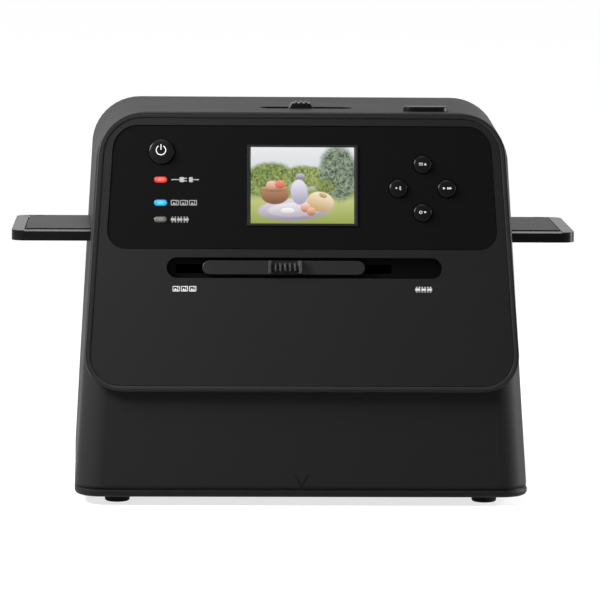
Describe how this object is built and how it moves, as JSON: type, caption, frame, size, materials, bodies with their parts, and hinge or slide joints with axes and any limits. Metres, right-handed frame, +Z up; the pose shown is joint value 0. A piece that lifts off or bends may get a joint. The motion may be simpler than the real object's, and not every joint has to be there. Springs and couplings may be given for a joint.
{
  "type": "film negative scanner",
  "caption": "Free-standing film and photo scanner with a sliding film tray, colour screen, front mode slider and lens slider.",
  "frame": {"origin": "where the camera's optical axis meets the surface the scanner stands on", "axes": "+Z up, -Y towards the screen side, +X to the right seen from the front, along the film tray's travel"},
  "size_m": [0.269, 0.155, 0.1866],
  "materials": {
    "shell_black": "fine-textured dark grey moulding",
    "panel_black": "satin dark grey moulding",
    "gloss_black": "polished black sheet",
    "foot_rubber": "matte",
    "screw_steel": "zinc plated",
    "rod_steel": "ground and plated",
    "can_steel": "stamped sheet",
    "spring_steel": "rolled strip",
    "bracket_aluminium": "satin",
    "screen_glass": "lit screen",
    "lens_clear": "coated",
    "board_green": "solder mask",
    "board_white": "white solder mask",
    "diffuser_white": "opal",
    "light_red": "lit red",
    "light_blue": "lit blue",
    "light_grey": "unlit",
    "tray_black": "satin black moulding",
    "inner_black": "matte black moulding",
    "seal_felt": "felt",
    "cable_white": "flat cable"
  },
  "bodies": {
    "housing": {"base_plate": "panel_black", "feet": "foot_rubber", "base_screws": "screw_steel", "body_shell": "shell_black", "rear_cover": "panel_black", "rear_screws": "screw_steel", "front_panel": "panel_black", "display_window": "gloss_black", "lcd_frame": "panel_black", "lcd_screen": "screen_glass", "lcd_can": "can_steel", "control_board": "board_green", "tact_switches": "inner_black", "status_leds": "diffuser_white", "power_light": "light_red", "photo_light": "light_blue", "film_light": "light_grey", "board_screws": "screw_steel", "deck_posts": "bracket_aluminium", "film_deck": "inner_black", "upper_guide": "inner_black", "guide_screws": "screw_steel", "guide_rods": "rod_steel", "light_hood": "inner_black", "camera_bracket": "bracket_aluminium", "lens_barrel": "inner_black", "lens_glass": "lens_clear", "sensor_board": "board_green", "sensor_cable": "cable_white", "photo_lamp_left": "board_white", "photo_lamp_right": "board_white", "lamp_diffuser_left": "diffuser_white", "lamp_diffuser_right": "diffuser_white", "main_board": "board_green", "usb_port": "can_steel", "card_socket": "can_steel", "display_cable": "cable_white", "scan_switch": "board_green", "slot_seal_left": "seal_felt", "slot_seal_right": "seal_felt", "detent_spring": "spring_steel"},
    "tray": {"film_tray": "tray_black", "tray_lid": "tray_black", "tray_hinge_pins": "rod_steel"},
    "mode_slider": {"mode_bar": "panel_black", "mode_knob": "panel_black", "mode_arm": "inner_black", "backlight_carriage": "inner_black", "backlight_board": "board_white", "backlight_diffuser": "diffuser_white"},
    "lens_slider": {"lens_switch": "tray_black", "macro_carriage": "inner_black", "macro_lens": "lens_clear"},
    "power_key": {"power_button": "gloss_black"},
    "up_key": {"up_button": "gloss_black"},
    "left_key": {"left_button": "gloss_black"},
    "right_key": {"right_button": "gloss_black"},
    "down_key": {"down_button": "gloss_black"},
    "scan_key": {"scan_button": "tray_black"}
  },
  "joints": [
    {"name": "tray_slide", "type": "slide", "parent": "housing", "child": "tray", "axis": [1, 0, 0], "range_m": [-0.0725, 0.0795]},
    {"name": "mode_slide", "type": "slide", "parent": "housing", "child": "mode_slider", "axis": [1, 0, 0], "range_m": [-0.01635, 0.03595]},
    {"name": "lens_slide", "type": "slide", "parent": "housing", "child": "lens_slider", "axis": [1, 0, 0], "range_m": [0, 0.007]},
    {"name": "power_press", "type": "slide", "parent": "housing", "child": "power_key", "axis": [0, 0.9744, -0.225], "range_m": [0, 0.0008], "stiffness_N_per_m": 600, "springref_m": -0.0002},
    {"name": "up_press", "type": "slide", "parent": "housing", "child": "up_key", "axis": [0, 0.9744, -0.225], "range_m": [0, 0.0008], "stiffness_N_per_m": 600, "springref_m": -0.0002},
    {"name": "left_press", "type": "slide", "parent": "housing", "child": "left_key", "axis": [0, 0.9744, -0.225], "range_m": [0, 0.0008], "stiffness_N_per_m": 600, "springref_m": -0.0002},
    {"name": "right_press", "type": "slide", "parent": "housing", "child": "right_key", "axis": [0, 0.9744, -0.225], "range_m": [0, 0.0008], "stiffness_N_per_m": 600, "springref_m": -0.0002},
    {"name": "down_press", "type": "slide", "parent": "housing", "child": "down_key", "axis": [0, 0.9744, -0.225], "range_m": [0, 0.0008], "stiffness_N_per_m": 600, "springref_m": -0.0002},
    {"name": "scan_press", "type": "slide", "parent": "housing", "child": "scan_key", "axis": [0, 0, -1], "range_m": [0, 0.0015], "stiffness_N_per_m": 500, "springref_m": -0.0003}
  ]
}
